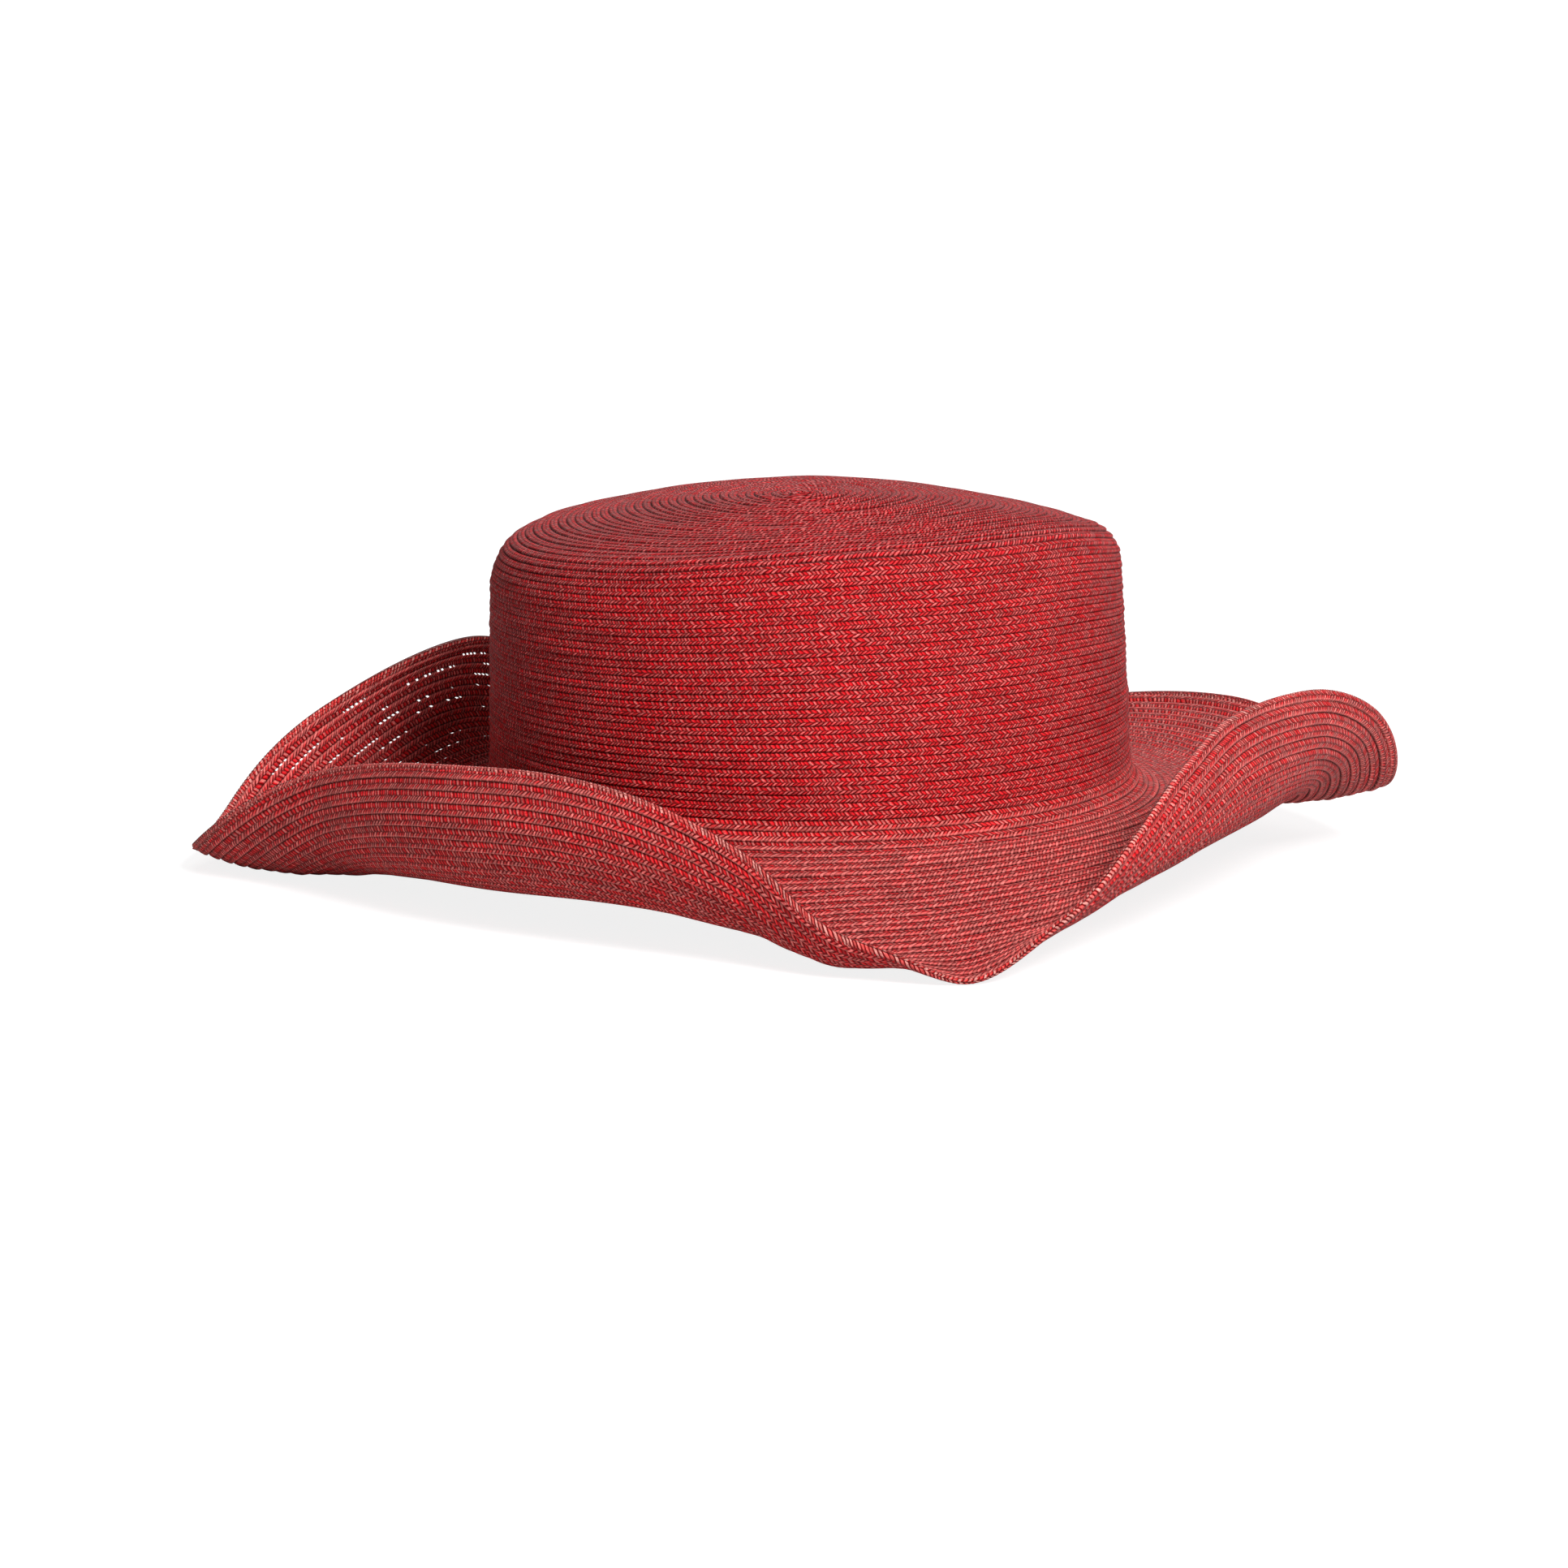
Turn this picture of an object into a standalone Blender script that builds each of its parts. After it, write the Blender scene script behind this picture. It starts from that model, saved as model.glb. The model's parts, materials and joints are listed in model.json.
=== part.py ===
"""A hat of sewn straw braid: an oval crown with a gently domed tip, and a wide brim curled up in four places.

The front of the hat faces -Y. The hat lies as it does on a table, on the lowest three places of its brim.
The origin is on the table, under the middle of the hat's outline.
Azimuths run from the front, 0, over the right side, 90, and the back, 180.
"""

import math
from collections import namedtuple

import bmesh
import bpy
import numpy as np
from mathutils import Matrix, Vector

# Driving dimensions in metres, measured on the middle of the straw wall
CROWN_WIDTH = 0.170
CROWN_LENGTH = 0.203
CROWN_HEIGHT = 0.0795
TIP_RISE = 0.001
SHOULDER_ROUND = 0.012
TIP_BUTTON_RADIUS = 0.008
BREAK_RADIUS = 0.009
BRIM_WIDTH = 0.083
STRAW_THICKNESS = 0.002
SEAM_GAP = 0.0003

# How far the side wall leans inwards, in degrees
WALL_DRAFT = 1.4

# Mesh fineness
CROWN_SEGMENTS = 64
BRIM_SEGMENTS = 88
TIP_RINGS = 6
SHOULDER_RINGS = 4
WALL_RINGS = 3
BREAK_RINGS = 3
BRIM_RINGS = 10

STRAW_COLOUR = (0.45, 0.022, 0.030, 1.0)
STRAW_ROUGHNESS = 0.62

# The crown round its rim: the height of the rim is a share of CROWN_HEIGHT, and its rounding of SHOULDER_ROUND
CrownSection = namedtuple("CrownSection", "azimuth rim_height rounding")
CROWN_SECTIONS = (
    CrownSection(0, 1.0, 0.6),
    CrownSection(40, 0.98, 0.6),
    CrownSection(75, 0.88, 0.7),
    CrownSection(105, 0.83, 1.0),
    CrownSection(150, 0.825, 1.1),
    CrownSection(195, 0.83, 1.2),
    CrownSection(230, 0.845, 1.1),
    CrownSection(270, 0.87, 1.0),
    CrownSection(310, 0.93, 1.0),
    CrownSection(340, 0.985, 0.8),
)

# The brim round the hat: slopes in degrees above level where it leaves the crown and at its edge, the share of
# its width where it starts to curl, and its width as a share of BRIM_WIDTH
BrimSection = namedtuple("BrimSection", "azimuth start_slope edge_slope curl_start width")
BRIM_SECTIONS = (
    BrimSection(0, -20, -10, 0.6, 1.0),
    BrimSection(9, -17, 40, 0.62, 1.0),
    BrimSection(18, -14, 88, 0.5, 1.0),
    BrimSection(28, -11, 123, 0.4, 1.0),
    BrimSection(42, -10, 136, 0.29, 1.0),
    BrimSection(60, -10, 112, 0.25, 1.0),
    BrimSection(74, -13, 70, 0.25, 1.0),
    BrimSection(90, -18, 14, 0.3, 1.0),
    BrimSection(120, -12, 29, 0.3, 1.0),
    BrimSection(150, -16, 12, 0.3, 1.0),
    BrimSection(170, -21, -12, 0.3, 1.0),
    BrimSection(190, -27, 80, 0.3, 1.0),
    BrimSection(210, -29, 126, 0.2, 1.0),
    BrimSection(230, -28, 94, 0.3, 1.0),
    BrimSection(245, -25, 32, 0.4, 1.04),
    BrimSection(258, -24, 32, 0.45, 1.1),
    BrimSection(280, -30, 108, 0.27, 1.0),
    BrimSection(305, -33, 125, 0.18, 1.0),
    BrimSection(325, -28, 119, 0.22, 1.0),
    BrimSection(340, -24, 100, 0.4, 1.0),
    BrimSection(350, -21, 66, 0.7, 1.0),
)


def clear_scene():
    """Removes every object of the scene."""
    for obj in list(bpy.data.objects):
        bpy.data.objects.remove(obj, do_unlink=True)


def straw_material(name):
    """The red straw of one piece."""
    material = bpy.data.materials.new(name)
    material.use_nodes = True
    shader = material.node_tree.nodes["Principled BSDF"]
    shader.inputs["Base Color"].default_value = STRAW_COLOUR
    shader.inputs["Roughness"].default_value = STRAW_ROUGHNESS
    shader.inputs["Metallic"].default_value = 0.0
    return material


def around(sections, column, azimuth):
    """One column of a table of sections at any azimuth, on a smooth closed curve through its rows."""
    count = len(sections)
    knots = [section.azimuth for section in sections]
    values = [getattr(section, column) for section in sections]
    azimuth = azimuth % 360
    row = max(index for index in range(count) if knots[index] <= azimuth)
    picks = [(row + step) % count for step in (-1, 0, 1, 2)]
    places = [knots[(row + step) % count] + 360 * ((row + step) // count) for step in (-1, 0, 1, 2)]
    before, start, end, after = (values[pick] for pick in picks)
    span = places[2] - places[1]
    slope_start = (end - before) / (places[2] - places[0]) * span
    slope_end = (after - start) / (places[3] - places[1]) * span
    part = (azimuth - places[1]) / span
    ease = part * part * (3 - 2 * part)
    return (
        start * (1 - ease)
        + end * ease
        + slope_start * part * (1 - part) ** 2
        - slope_end * part**2 * (1 - part)
    )


def foot_point(azimuth, inset=0.0):
    """A point of the oval at the foot of the side wall, moved inwards by inset."""
    turn = math.radians(azimuth)
    return np.array(
        (
            (CROWN_WIDTH / 2 - inset) * math.sin(turn),
            -(CROWN_LENGTH / 2 - inset) * math.cos(turn),
            0.0,
        )
    )


def foot_outward(azimuth):
    """The level direction square to the foot oval, pointing out."""
    turn = math.radians(azimuth)
    outward = np.array((CROWN_LENGTH * math.sin(turn), -CROWN_WIDTH * math.cos(turn), 0.0))
    return outward / np.linalg.norm(outward)


def wall_point(azimuth, height):
    """A point of the side wall."""
    inset = height * math.tan(math.radians(WALL_DRAFT))
    return foot_point(azimuth, inset) + np.array((0, 0, height))


def tip_point(rim, share):
    """A point of the tip, at a share of the way from its middle to the sharp rim that the rounding replaces."""
    button_share = TIP_BUTTON_RADIUS / math.hypot(rim[0], rim[1])
    drop = max(0.0, (share - button_share) / (1 - button_share)) ** 2
    middle_height = CROWN_HEIGHT + TIP_RISE
    return np.array((rim[0] * share, rim[1] * share, middle_height + (rim[2] - middle_height) * drop))


def crown_profile(azimuth):
    """The crown's section at one azimuth, from the middle of the tip down to the seam with the brim."""
    rim_height = CROWN_HEIGHT * around(CROWN_SECTIONS, "rim_height", azimuth)
    rim = wall_point(azimuth, rim_height)
    reach = math.hypot(rim[0], rim[1])
    rounding = SHOULDER_ROUND * around(CROWN_SECTIONS, "rounding", azimuth)
    first = TIP_BUTTON_RADIUS / reach
    last = 1 - rounding / reach
    points = [tip_point(rim, first + (last - first) * ring / TIP_RINGS) for ring in range(TIP_RINGS)]
    inner_end = tip_point(rim, last)
    outer_end = wall_point(azimuth, rim_height - rounding)
    for ring in range(SHOULDER_RINGS):
        share = ring / SHOULDER_RINGS
        points.append(inner_end * (1 - share) ** 2 + rim * 2 * share * (1 - share) + outer_end * share**2)
    foot_height = BREAK_RADIUS + SEAM_GAP
    for ring in range(WALL_RINGS + 1):
        share = ring / WALL_RINGS
        points.append(wall_point(azimuth, (rim_height - rounding) * (1 - share) + foot_height * share))
    return points


def brim_slope(azimuth, share):
    """The brim's slope in degrees above level, at a share of its width past the break."""
    start = around(BRIM_SECTIONS, "start_slope", azimuth)
    edge = around(BRIM_SECTIONS, "edge_slope", azimuth)
    curl_start = around(BRIM_SECTIONS, "curl_start", azimuth)
    curl = max(0.0, share - curl_start) / (1 - curl_start)
    return start + (edge - start) * curl


def brim_profile(azimuth):
    """The brim's section at one azimuth, from the seam with the crown out to the edge."""
    outward = foot_outward(azimuth)
    start = around(BRIM_SECTIONS, "start_slope", azimuth)
    width = BRIM_WIDTH * around(BRIM_SECTIONS, "width", azimuth)
    break_turn = 90 - WALL_DRAFT + start
    break_width = BREAK_RADIUS * math.radians(break_turn)
    point = wall_point(azimuth, BREAK_RADIUS)
    points = [point]
    for ring in range(BREAK_RINGS):
        slope = math.radians(start - break_turn * (1 - (ring + 0.5) / BREAK_RINGS))
        step = break_width / BREAK_RINGS
        point = point + step * (math.cos(slope) * outward + np.array((0, 0, math.sin(slope))))
        points.append(point)
    for ring in range(BRIM_RINGS):
        slope = math.radians(brim_slope(azimuth, (ring + 0.5) / BRIM_RINGS))
        step = (width - break_width) / BRIM_RINGS
        point = point + step * (math.cos(slope) * outward + np.array((0, 0, math.sin(slope))))
        points.append(point)
    return points


def straw_sheet(name, profile, segments, closed_middle, parent):
    """One piece of straw: a sheet through the sections given by profile, thickened evenly to both sides."""
    mesh = bmesh.new()
    columns = []
    for segment in range(segments):
        columns.append([mesh.verts.new(point) for point in profile(360 * segment / segments)])
    for column, following in zip(columns, columns[1:] + columns[:1]):
        for ring in range(len(column) - 1):
            mesh.faces.new((column[ring], column[ring + 1], following[ring + 1], following[ring]))
    if closed_middle:
        mesh.faces.new([column[0] for column in columns])
    bmesh.ops.recalc_face_normals(mesh, faces=mesh.faces)
    data = bpy.data.meshes.new(name)
    mesh.to_mesh(data)
    mesh.free()
    data.materials.append(straw_material(name + "_straw"))
    data.shade_smooth()
    piece = bpy.data.objects.new(name, data)
    bpy.context.scene.collection.objects.link(piece)
    piece.parent = parent
    solidify = piece.modifiers.new("straw_thickness", "SOLIDIFY")
    solidify.thickness = STRAW_THICKNESS
    solidify.offset = 0
    solidify.use_even_offset = True
    return piece


def solid_shape(piece):
    """The points of a piece's solid, and the middle and area of each of its faces."""
    evaluated = piece.evaluated_get(bpy.context.evaluated_depsgraph_get())
    mesh = evaluated.to_mesh()
    points = [vertex.co.copy() for vertex in mesh.vertices]
    faces = [(polygon.center.copy(), polygon.area) for polygon in mesh.polygons]
    evaluated.to_mesh_clear()
    return points, faces


def stands_over(face, balance):
    """Whether the balance point is straight above a triangle."""
    corners = [vertex.co.xy for vertex in face.verts]
    sides = [
        (corners[side] - corners[side - 1]).cross(balance.xy - corners[side - 1])
        for side in range(len(corners))
    ]
    return min(sides) >= 0 or max(sides) <= 0


def resting_normal(points, balance):
    """The downward normal of the table under the points, once they have tipped on to their lowest three places."""
    hull = bmesh.new()
    for point in points:
        hull.verts.new(point)
    bmesh.ops.convex_hull(hull, input=hull.verts)
    bmesh.ops.triangulate(hull, faces=hull.faces)
    hull.normal_update()
    under = [face for face in hull.faces if face.normal.z < 0 and stands_over(face, balance)]
    normal = max(under, key=lambda face: face.calc_area()).normal.copy()
    hull.free()
    return normal


def lay_down(root, pieces):
    """Turns and moves the root so that the pieces rest on the table, with the origin under their middle."""
    bpy.context.view_layer.update()
    points = []
    moment = Vector((0, 0, 0))
    area = 0.0
    for piece in pieces:
        piece_points, faces = solid_shape(piece)
        points += piece_points
        for middle, size in faces:
            moment += middle * size
            area += size
    down = resting_normal(points, moment / area)
    turn = down.rotation_difference(Vector((0, 0, -1))).to_matrix()
    turned = np.array([turn @ point for point in points])
    low = turned.min(axis=0)
    high = turned.max(axis=0)
    shift = Vector((-(low[0] + high[0]) / 2, -(low[1] + high[1]) / 2, -low[2]))
    root.matrix_world = Matrix.Translation(shift) @ turn.to_4x4()
    bpy.context.view_layer.update()


def build_hat():
    """The whole hat."""
    clear_scene()
    root = bpy.data.objects.new("hat", None)
    bpy.context.scene.collection.objects.link(root)
    crown = straw_sheet("crown", crown_profile, CROWN_SEGMENTS, True, root)
    brim = straw_sheet("brim", brim_profile, BRIM_SEGMENTS, False, root)
    lay_down(root, (crown, brim))


build_hat()
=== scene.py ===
"""The looks of a hat of sewn straw braid: every row in relief, its straw, and a plain studio.

The rows run in one spiral from the middle of the tip, down the side wall and out to the edge of the brim.
Lengths are metres. The hat's own sizes repeat those that its solids were made from.
"""

import json
import math
from collections import namedtuple

import bpy
import numpy as np
from mathutils import Matrix, Vector


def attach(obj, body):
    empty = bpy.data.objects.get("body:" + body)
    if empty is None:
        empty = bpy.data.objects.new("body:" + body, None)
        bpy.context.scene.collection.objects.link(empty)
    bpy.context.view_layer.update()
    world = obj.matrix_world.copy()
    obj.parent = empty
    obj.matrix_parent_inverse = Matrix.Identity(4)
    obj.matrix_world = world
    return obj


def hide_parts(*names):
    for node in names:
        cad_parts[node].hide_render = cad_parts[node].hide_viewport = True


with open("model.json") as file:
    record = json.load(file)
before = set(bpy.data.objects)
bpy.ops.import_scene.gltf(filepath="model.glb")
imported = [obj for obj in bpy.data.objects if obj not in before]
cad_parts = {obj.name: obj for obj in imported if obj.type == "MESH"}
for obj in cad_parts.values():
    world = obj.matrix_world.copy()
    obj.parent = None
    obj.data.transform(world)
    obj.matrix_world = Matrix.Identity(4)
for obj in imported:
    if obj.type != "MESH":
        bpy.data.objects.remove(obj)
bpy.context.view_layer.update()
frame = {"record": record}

# The hat's own sizes, on the middle of the straw wall
CROWN_WIDTH = 0.170
CROWN_LENGTH = 0.203
CROWN_HEIGHT = 0.0795
TIP_RISE = 0.001
SHOULDER_ROUND = 0.012
TIP_BUTTON_RADIUS = 0.008
BREAK_RADIUS = 0.009
BRIM_WIDTH = 0.083
WALL_DRAFT = 1.4

# The braid
TIP_ROWS = 36
WALL_ROWS = 30
BRIM_ROWS = 26
STRAND_WIDTH = 0.00128
STRAW_HALF = 0.00050
ROW_RELIEF = 0.00058
ROW_WANDER = 0.00016
EDGE_HALF_WIDTH = 0.00175
EDGE_HALF_THICKNESS = 0.00095
EDGE_INSET = 0.0012
EDGE_RELIEF = 0.00016

# How far a strand leans along the braid over its half of a row, in strands
UPPER_LEAN = 0.75
LOWER_LEAN = 1.15

# How unevenly the rows lie: the most waves round the hat, and how far a groove wanders beside a row's height
HEIGHT_WAVES = 14
GROOVE_WAVES = 20
GROOVE_WANDER = 0.8

# Mesh fineness
TIP_SAMPLES = 60
SHOULDER_SAMPLES = 20
WALL_SAMPLES = 50
BREAK_SAMPLES = 24
CURL_SAMPLES = 120
PROFILE_SAMPLES = 420
TIP_COLUMNS = 384
WALL_COLUMNS = 440
BRIM_COLUMNS = 560
EDGE_STEPS_PER_STRAND = 4
EDGE_SECTION_POINTS = 12
RING_STEP = 8
ROW_GUARD = 1e-6

SEED = 7

# The camera, from how the photograph sees the crown's ellipse and the lowest points of the brim
CAMERA_AZIMUTH = -13.0
CAMERA_ELEVATION = 9.6
CAMERA_DISTANCE = 3.5
METRES_PER_PIXEL = 0.00022
FRAME_PIXELS = 1932
SENSOR_WIDTH = 36.0
NEAREST_SEEN = 0.05
AIM_ON_FLOOR = (0.0008, 0.0, 0.0)
AIM_PIXEL = (998, 1073)

# The crown round its rim: the rim's height is a share of CROWN_HEIGHT, and its rounding of SHOULDER_ROUND
CrownSection = namedtuple("CrownSection", "azimuth rim_height rounding")
CROWN_SECTIONS = (
    CrownSection(0, 1.0, 0.6),
    CrownSection(40, 0.98, 0.6),
    CrownSection(75, 0.88, 0.7),
    CrownSection(105, 0.83, 1.0),
    CrownSection(150, 0.825, 1.1),
    CrownSection(195, 0.83, 1.2),
    CrownSection(230, 0.845, 1.1),
    CrownSection(270, 0.87, 1.0),
    CrownSection(310, 0.93, 1.0),
    CrownSection(340, 0.985, 0.8),
)

# The brim round the hat: slopes in degrees above level where it leaves the crown and at its edge, the
# share of its width where it starts to curl, and its width as a share of BRIM_WIDTH
BrimSection = namedtuple("BrimSection", "azimuth start_slope edge_slope curl_start width")
BRIM_SECTIONS = (
    BrimSection(0, -20, -10, 0.6, 1.0),
    BrimSection(9, -17, 40, 0.62, 1.0),
    BrimSection(18, -14, 88, 0.5, 1.0),
    BrimSection(28, -11, 123, 0.4, 1.0),
    BrimSection(42, -10, 136, 0.29, 1.0),
    BrimSection(60, -10, 112, 0.25, 1.0),
    BrimSection(74, -13, 70, 0.25, 1.0),
    BrimSection(90, -18, 14, 0.3, 1.0),
    BrimSection(120, -12, 29, 0.3, 1.0),
    BrimSection(150, -16, 12, 0.3, 1.0),
    BrimSection(170, -21, -12, 0.3, 1.0),
    BrimSection(190, -27, 80, 0.3, 1.0),
    BrimSection(210, -29, 126, 0.2, 1.0),
    BrimSection(230, -28, 94, 0.3, 1.0),
    BrimSection(245, -25, 32, 0.4, 1.04),
    BrimSection(258, -24, 32, 0.45, 1.1),
    BrimSection(280, -30, 108, 0.27, 1.0),
    BrimSection(305, -33, 125, 0.18, 1.0),
    BrimSection(325, -28, 119, 0.22, 1.0),
    BrimSection(340, -24, 100, 0.4, 1.0),
    BrimSection(350, -21, 66, 0.7, 1.0),
)

# One row of braid across its width: its height above the groove, as a share of ROW_RELIEF. The outer face
# is lapped like shingles, with the edge nearer the brim on top, and the inner face the other way.
RowPoint = namedtuple("RowPoint", "across height")
OUTER_ROW = (
    RowPoint(0.0, 0.0),
    RowPoint(0.16, 0.52),
    RowPoint(0.45, 0.86),
    RowPoint(0.76, 1.0),
    RowPoint(0.93, 0.80),
)
INNER_ROW = (
    RowPoint(0.0, 0.0),
    RowPoint(0.07, 0.80),
    RowPoint(0.24, 1.0),
    RowPoint(0.55, 0.86),
    RowPoint(0.84, 0.52),
)
PLAIN_ROW = (RowPoint(0.0, 0.0), RowPoint(0.5, 0.95))

# Scales of noise, along the braid for each strand and across it for each row
Scales = namedtuple("Scales", "along across")
DRIFT_NOISE = Scales(0.06, 0.0)
WAVER_NOISE = Scales(0.21, 1.3)
FIBRE_NOISE = Scales(1.0, 1.1)
CLUMP_NOISE = Scales(0.33, 1.7)
FRAY_NOISE = Scales(2.3, 7.0)
STRETCH_NOISE = Scales(0.045, 0.9)
# Noise for how deep the painted shade in the grooves between rows is
GROOVE_SHADE_NOISE = Scales(0.09, 0.0)
GAP_NOISE = Scales(0.05, 0.0)

# Smooth ramps: a value that runs from start to end gives one that runs from low to high
Ramp = namedtuple("Ramp", "start end low high", defaults=(0.0, 1.0))
FIBRE_HEIGHT = Ramp(0.2, 0.8, 0.65, 1.1)
# The pale flecks are partly pale fibres and partly painted glints on the strands' crests
GLINT_FLECK_WIDTH = Ramp(0.75, 0.30)
GLINT_FLECK_CLUMPS = Ramp(0.30, 0.68, 0.75, 1.15)
GLINT_FLECK_LUCK = Ramp(0.3, 0.8, 0.12, 1.15)
GLINT_FLECK_FRAY = Ramp(0.34, 0.62, 0.55, 1.2)
STRETCH_TONE = Ramp(0.3, 0.7, 0.88, 1.1)
STRAND_TONE = Ramp(0.0, 1.0, 1.22, 0.72)
FIBRE_TONE = Ramp(0.3, 0.7, 0.86, 1.12)
# Painted shade in the grooves between rows: where it lies, and how dark it is
GROOVE_SHADE_PLACE = Ramp(0.42, 0.49)
GROOVE_SHADE = Ramp(0.35, 0.65, 0.62, 0.25)
# Where the painted highlight line lies along each row's outer edge
HIGHLIGHT_LINE_START = Ramp(0.74, 0.84)
HIGHLIGHT_LINE_END = Ramp(0.98, 0.92)
GAP_ACROSS = Ramp(0.85, 0.89)
GAP_ALONG = Ramp(0.29, 0.19)
GAP_LUCK = Ramp(0.3, 0.4)
GAP_STRETCH = Ramp(0.49, 0.56)
# STRAND_BACK: how high on a strand the painted shade of the gaps gives way to the strand's body colour
STRAND_BACK = Ramp(0.40, 0.85)
STRAND_ROUGHNESS = Ramp(0.0, 1.0, 0.72, 0.52)
OPEN_LEFT = Ramp(-0.02, -0.04)
OPEN_BACK = Ramp(0.03, 0.045)

# The rest of what draws the strands
DRIFT = 5.0
WAVER = 0.36
DIVE_START = math.pi * 0.08
DIVE_TURN = math.pi * 0.84
DIVE_POWER = 0.6
FIBRES_PER_STRAND = 5.0
STRAND_STEP = 3.7
UPPER_GLINT_FLECK_SHIFT = 0.35
TURN_ABOUT_SHARE = 0.35
STRETCH_DETAIL = 3.0
GAPS_PER_STRAND = 0.7
BUMP_DEPTH = 0.00030
STRAW_SHINE = 0.08
STRAW_SHEEN = 0.04
SHEEN_ROUGHNESS = 0.4

# Each finish: the dark colour of painted shade in the gaps between strands, colours on the upper and lower
# half of a row and on the pale flecks, which are partly pale fibres and partly painted glints, how strong
# the flecks are on each half, and how strong the painted highlight line at a row's edge is
Straw = namedtuple("Straw", "deep upper lower pale upper_fleck lower_fleck edge_line")
CROWN_STRAW = Straw(
    deep=(0.14, 0.0, 0.001),
    upper=(0.70, 0.001, 0.008),
    lower=(0.70, 0.003, 0.012),
    pale=(1.0, 0.20, 0.19),
    upper_fleck=0.85,
    lower_fleck=1.0,
    edge_line=0.0,
)
BRIM_STRAW = Straw(
    deep=(0.14, 0.0, 0.001),
    upper=(0.72, 0.003, 0.010),
    lower=(0.74, 0.020, 0.026),
    pale=(1.0, 0.25, 0.225),
    upper_fleck=0.95,
    lower_fleck=1.15,
    edge_line=0.4,
)
EDGE_STRAW = Straw(
    deep=(0.18, 0.001, 0.003),
    upper=(0.74, 0.030, 0.030),
    lower=(0.74, 0.050, 0.048),
    pale=(1.0, 0.40, 0.35),
    upper_fleck=1.1,
    lower_fleck=1.3,
    edge_line=0.0,
)

# The studio: the floor with its grey and its glow for the camera, the surround, and the soft lights, each by
# its azimuth and elevation as seen from the hat
FLOOR_SIDE = 14.0
FLOOR_GREY = (0.72, 0.72, 0.72, 1.0)
FLOOR_ROUGHNESS = 0.9
FLOOR_GLOW = 1.7
FLOOR_GLOW_SHARE = 0.5
SURROUND_STRENGTH = 0.10
LIGHT_AIM = (0, 0, 0.05)
SoftLight = namedtuple("SoftLight", "name azimuth elevation distance size power")
SOFT_LIGHTS = (
    SoftLight("key_light", 10, 34, 3.2, 0.9, 125.0),
    SoftLight("back_light", 165, 38, 3.0, 1.4, 24.0),
    SoftLight("low_light", -62, 4, 2.6, 0.5, 4.5),
)


def around(sections, column, azimuth):
    """One column of a table of sections at any azimuth, on a smooth closed curve through its rows."""
    count = len(sections)
    knots = [section.azimuth for section in sections]
    values = [getattr(section, column) for section in sections]
    azimuth = azimuth % 360
    row = max(index for index in range(count) if knots[index] <= azimuth)
    picks = [(row + step) % count for step in (-1, 0, 1, 2)]
    places = [knots[(row + step) % count] + 360 * ((row + step) // count) for step in (-1, 0, 1, 2)]
    before, start, end, after = (values[pick] for pick in picks)
    span = places[2] - places[1]
    slope_start = (end - before) / (places[2] - places[0]) * span
    slope_end = (after - start) / (places[3] - places[1]) * span
    part = (azimuth - places[1]) / span
    ease = part * part * (3 - 2 * part)
    return (
        start * (1 - ease)
        + end * ease
        + slope_start * part * (1 - part) ** 2
        - slope_end * part**2 * (1 - part)
    )


def unit_oval(azimuth):
    """The directions from which the foot oval's points and its outward normal are made."""
    turn = math.radians(azimuth)
    outward = np.array((CROWN_LENGTH * math.sin(turn), -CROWN_WIDTH * math.cos(turn), 0.0))
    return math.sin(turn), -math.cos(turn), outward / np.linalg.norm(outward)


def wall_line(azimuth, heights):
    """Points of the side wall at one azimuth, for an array of heights."""
    across, along, _ = unit_oval(azimuth)
    inset = heights * math.tan(math.radians(WALL_DRAFT))
    return np.stack(
        ((CROWN_WIDTH / 2 - inset) * across, (CROWN_LENGTH / 2 - inset) * along, heights), axis=1
    )


def tip_line(rim, shares):
    """Points of the tip at one azimuth, at shares of the way from its middle to the sharp rim."""
    button = TIP_BUTTON_RADIUS / math.hypot(rim[0], rim[1])
    drop = np.maximum(0.0, (shares - button) / (1 - button)) ** 2
    middle = CROWN_HEIGHT + TIP_RISE
    return np.stack((rim[0] * shares, rim[1] * shares, middle + (rim[2] - middle) * drop), axis=1)


def crown_line(azimuth):
    """The crown's section at one azimuth, and the index of its point halfway over the rounded rim."""
    rim_height = CROWN_HEIGHT * around(CROWN_SECTIONS, "rim_height", azimuth)
    rim = wall_line(azimuth, np.array([rim_height]))[0]
    reach = math.hypot(rim[0], rim[1])
    rounding = SHOULDER_ROUND * around(CROWN_SECTIONS, "rounding", azimuth)
    last = 1 - rounding / reach
    tip = tip_line(rim, np.linspace(0, last, TIP_SAMPLES, endpoint=False))
    inner_end = tip_line(rim, np.array([last]))[0]
    outer_end = wall_line(azimuth, np.array([rim_height - rounding]))[0]
    share = np.linspace(0, 1, SHOULDER_SAMPLES, endpoint=False)[:, None]
    shoulder = inner_end * (1 - share) ** 2 + rim * 2 * share * (1 - share) + outer_end * share**2
    wall = wall_line(azimuth, np.linspace(rim_height - rounding, BREAK_RADIUS, WALL_SAMPLES))
    return np.concatenate((tip, shoulder, wall)), len(tip) + SHOULDER_SAMPLES // 2


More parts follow.
